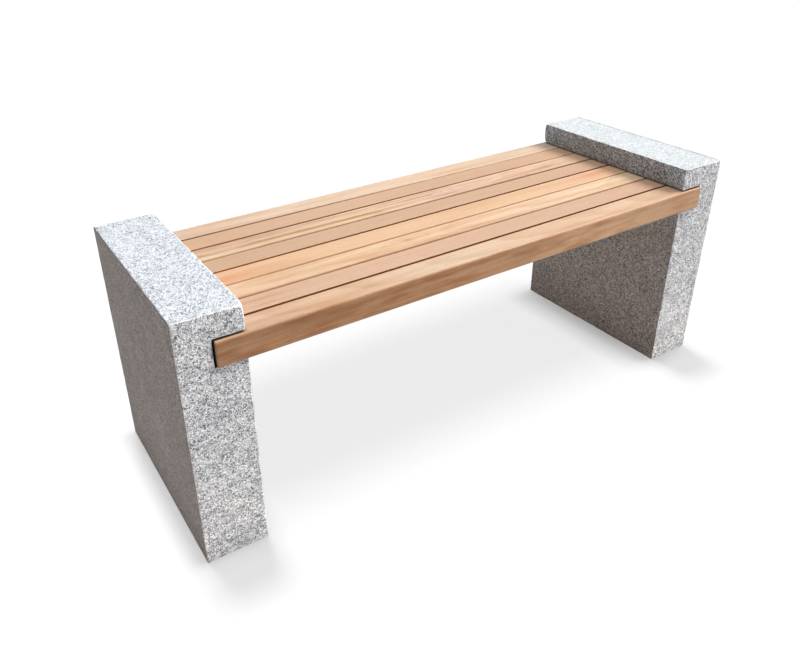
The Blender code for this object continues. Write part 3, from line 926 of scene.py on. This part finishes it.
def build_bolt(node, material):
    """A hexagon-head bolt with a chamfered head and a rolled thread on its shank."""
    low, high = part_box(node)
    height, width = 6.4 * MM, high.z - low.z
    length = high.x - low.x - height
    radius = 5.0 * MM
    pitch, plain = 1.5 * MM, 8 * MM  # plain: how far the shank has no thread
    angles = turn_angles(BOLT_STEPS)
    sides = hexagon(angles, width, turn=math.pi / 6)
    rings = [(0.84 * width / 2, height), (np.minimum(sides, 0.95 * width / 2), height - 0.1 * MM)]
    for share in np.linspace(0.2, 1.0, 5):
        chamfer = width / 2 * (0.95 + 0.22 * share)
        rings.append((np.minimum(sides, chamfer), height - 0.1 * MM - 1.1 * MM * share))
    rings += [(sides, 0.5 * MM), (np.minimum(sides, 1.06 * width / 2), 0.0), (radius + 0.3 * MM, 0.0)]
    rings += [(radius, -0.3 * MM), (radius, -plain)]
    for depth in np.arange(plain + pitch / 6, length - 1.0 * MM, pitch / 6):
        phase = (depth / pitch + angles / (2 * math.pi)) % 1
        groove = np.clip(depth - plain, 0, pitch) / pitch * np.abs(1 - 2 * phase)
        rings.append((radius - 0.8 * MM * groove, -depth))
    rings += [(radius - 0.9 * MM, -length + 0.5 * MM), (radius - 1.3 * MM, -length)]
    start = low.x if high.x > 0 else high.x
    place = facing_out_of_stone(node, start + math.copysign(height, start))
    bolt = turned_piece(f"chamfered_{node}", rings, BOLT_STEPS, place)
    fit_out(bolt, node, material)


def build_washer(node, material):
    """A stamped washer: its upper edges rolled over, its lower ones sharp."""
    low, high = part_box(node)
    thickness, outer, inner = high.x - low.x, (high.z - low.z) / 2, 5.5 * MM
    roll = 0.3 * MM
    rings = [
        (outer - roll, thickness),
        (outer - 0.3 * roll, thickness - 0.3 * roll),
        (outer, thickness - roll),
        (outer, 0.1 * MM),
        (outer - 0.1 * MM, 0.0),
        (inner + 0.1 * MM, 0.0),
        (inner, 0.1 * MM),
        (inner, thickness - roll),
        (inner + roll, thickness),
    ]
    place = facing_out_of_stone(node, high.x if high.x < 0 else low.x)
    place = place @ Matrix.Translation((0, 0, -thickness))
    washer = turned_piece(f"stamped_{node}", rings, WASHER_STEPS, place, closed=True)
    fit_out(washer, node, material)


# ---------------------------------------------------------------- studio

FLOOR_SIZE = 40.0  # from its middle to each side
FLOOR_TONE = 0.10
FLOOR_GLOW = 0.04
CONTACT_REACH = 0.05  # how far from a stone the glow is dimmed
CONTACT_POWER = 3.2
SKY_LEFT = 0.18
SKY_RIGHT = 0.50
SKY_SEEN = 1.1  # by the camera
SKY_COLOUR = (0.96, 0.98, 1.0, 1.0)
KEY_FROM = Vector((0.628, -0.246, 0.738))
KEY_DISTANCE = 20.0
KEY_SIZE = 10.8
KEY_POWER = 7150.0
KEY_COLOUR = (1.0, 0.985, 0.96)
BOUNCE_FROM = Vector((-1.0, 0.0, -1.0))
BOUNCE_SPREAD = 30.0
BOUNCE_STRENGTH = 0.90
BOUNCE_COLOUR = (1.0, 0.50, 0.29)
CAMERA_PLACE = (-0.89847, -1.19537, 1.07937)
CAMERA_AIM = (31.371, 27.945, -1.2526)  # azimuth, elevation below the horizon and roll, in degrees
CAMERA_LENS = 33.96
CAMERA_SHIFT = (0.0418, -0.0591)


def build_floor():
    """A pale matt sheet with a faint glow of its own, which dims where a stone stands on it."""
    mesh = bpy.data.meshes.new("floor")
    bm = bmesh.new()
    bmesh.ops.create_grid(bm, x_segments=1, y_segments=1, size=FLOOR_SIZE)
    bm.to_mesh(mesh)
    bm.free()
    floor = bpy.data.objects.new("floor", mesh)
    bpy.context.scene.collection.objects.link(floor)
    s = Surface("pale_floor")
    contact = s.node("ShaderNodeAmbientOcclusion", {"Distance": CONTACT_REACH}, samples=16).outputs["AO"]
    s.set(
        Base_Color=(*grey(FLOOR_TONE), 1.0),
        Roughness=1.0,
        Emission_Color=(1.0, 1.0, 1.0, 1.0),
        Emission_Strength=s.math("MULTIPLY", s.math("POWER", contact, CONTACT_POWER), FLOOR_GLOW),
        Specular_IOR_Level=0.0,
    )
    mesh.materials.append(s.material)
    return floor


def build_world():
    """A soft white sky that is dimmer on the bench's left, and plain white where the camera sees it."""
    world = bpy.data.worlds.new("soft_studio")
    bpy.context.scene.world = world
    world.use_nodes = True
    tree = world.node_tree
    background = tree.nodes["Background"]
    direction = tree.nodes.new("ShaderNodeTexCoord").outputs["Generated"]
    parts = tree.nodes.new("ShaderNodeSeparateXYZ")
    tree.links.new(direction, parts.inputs[0])
    span = tree.nodes.new("ShaderNodeMapRange")
    tree.links.new(parts.outputs[0], span.inputs[0])
    for index, value in enumerate((-0.6, 0.5, SKY_LEFT, SKY_RIGHT), start=1):
        span.inputs[index].default_value = value
    seen = tree.nodes.new("ShaderNodeMath")
    seen.operation = "MULTIPLY"
    tree.links.new(tree.nodes.new("ShaderNodeLightPath").outputs["Is Camera Ray"], seen.inputs[0])
    seen.inputs[1].default_value = SKY_SEEN
    strength = tree.nodes.new("ShaderNodeMath")
    strength.operation = "MAXIMUM"
    tree.links.new(span.outputs[0], strength.inputs[0])
    tree.links.new(seen.outputs[0], strength.inputs[1])
    tree.links.new(strength.outputs[0], background.inputs["Strength"])
    background.inputs["Color"].default_value = SKY_COLOUR


def add_lamp(name, kind, source):
    """A lamp that shines from a direction, and the object that holds it."""
    light = bpy.data.lights.new(name, kind)
    item = bpy.data.objects.new(name, light)
    bpy.context.scene.collection.objects.link(item)
    item.rotation_euler = source.to_track_quat("Z", "Y").to_euler()
    return light, item


def linked_objects(name, objects, state):
    """A collection that says which objects a lamp lights or is shaded by, or which ones it doesn't."""
    group = bpy.data.collections.new(name)
    for item in objects:
        group.objects.link(item)
    for member in group.collection_objects:
        member.light_linking.link_state = state
    return group


def add_key(name, share, floor, casters=None):
    """A share of the main lamp, a wide soft one to the right of the bench, which doesn't light the floor.

    casters are what shades it, where that isn't everything.
    """
    direction = KEY_FROM.normalized()
    light, item = add_lamp(name, "AREA", direction)
    light.shape = "DISK"
    light.size = KEY_SIZE
    light.energy = KEY_POWER * share
    light.color = KEY_COLOUR
    item.location = Vector((0, 0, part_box(SLATS[0])[1].z)) + direction * KEY_DISTANCE
    item.light_linking.receiver_collection = linked_objects(f"lit_by_{name}", [floor], "EXCLUDE")
    if casters:
        item.light_linking.blocker_collection = linked_objects(f"shades_{name}", casters, "INCLUDE")


def add_bounce(stones, slats):
    """Warm light off the ground at the bench's left, which the stones catch and only the slats shade."""
    light, item = add_lamp("bounce", "SUN", BOUNCE_FROM)
    light.angle = math.radians(BOUNCE_SPREAD)
    light.energy = BOUNCE_STRENGTH
    light.color = BOUNCE_COLOUR
    item.light_linking.receiver_collection = linked_objects("lit_by_bounce", stones, "INCLUDE")
    item.light_linking.blocker_collection = linked_objects("shades_bounce", slats, "INCLUDE")


def add_floor_light(name, lean, spread, level, floor, casters):
    """Light from far above that reaches only the floor.

    lean is how far its shadows shift across the floor, in x and y, for each metre of height. spread is
    its angle, which softens them. level is the brightness that it adds, and casters are what shades it.
    """
    direction = Vector((-lean[0], -lean[1], 1.0)).normalized()
    light, item = add_lamp(name, "SUN", direction)
    light.angle = math.radians(spread)
    light.energy = level * math.pi / (FLOOR_TONE * direction.z)
    item.light_linking.receiver_collection = linked_objects(f"lit_by_{name}", [floor], "INCLUDE")
    item.light_linking.blocker_collection = linked_objects(f"shades_{name}", casters, "INCLUDE")


def build_camera():
    """The camera stands to the left of the bench's front and looks down along it."""
    azimuth, elevation, roll = (math.radians(angle) for angle in CAMERA_AIM)
    forward = Vector(
        (
            math.sin(azimuth) * math.cos(elevation),
            math.cos(azimuth) * math.cos(elevation),
            -math.sin(elevation),
        )
    )
    camera = bpy.data.cameras.new("camera")
    camera.lens = CAMERA_LENS
    camera.sensor_width = 36.0
    camera.shift_x, camera.shift_y = CAMERA_SHIFT
    item = bpy.data.objects.new("camera", camera)
    bpy.context.scene.collection.objects.link(item)
    item.location = CAMERA_PLACE
    aim = forward.to_track_quat("-Z", "Y").to_matrix().to_4x4()
    item.rotation_euler = (aim @ Matrix.Rotation(roll, 4, "Z")).to_euler()
    bpy.context.scene.camera = item


# ---------------------------------------------------------------- the scene

bpy.context.scene.view_settings.view_transform = "Standard"
build_camera()
build_world()

granite = granite_material()
stones = [build_stone(side, granite) for side in ("left", "right")]
slats = [build_slat(node) for node in SLATS]
dress_cad_nodes(("cross_bearer", "steel_angle"), galvanised_material())
stainless = stainless_material()
for name in NODES:
    if "_screw_" in name:
        build_screw(name, stainless)
    elif name.startswith("anchor_bolt"):
        build_bolt(name, stainless)
    elif name.startswith("washer"):
        build_washer(name, stainless)
dress_cad_nodes("anchor_sleeve", stainless)

studio_floor = build_floor()
add_key("key", 0.66, studio_floor)
add_key("fill", 0.34, studio_floor, slats)
add_bounce(stones, slats)
# The levels and the floor's glow add up to 1, so that the floor is just white where nothing shades it.
add_floor_light("above", (0.0, 0.11), 26.0, 0.20, studio_floor, slats)
add_floor_light("behind", (-0.010, -0.235), 10.0, 0.27, studio_floor, stones)
add_floor_light("beside_left", (-0.048, 0.0), 4.5, 0.22, studio_floor, stones[:1])
add_floor_light("beside_right", (-0.13, 0.0), 9.5, 0.27, studio_floor, stones[1:])
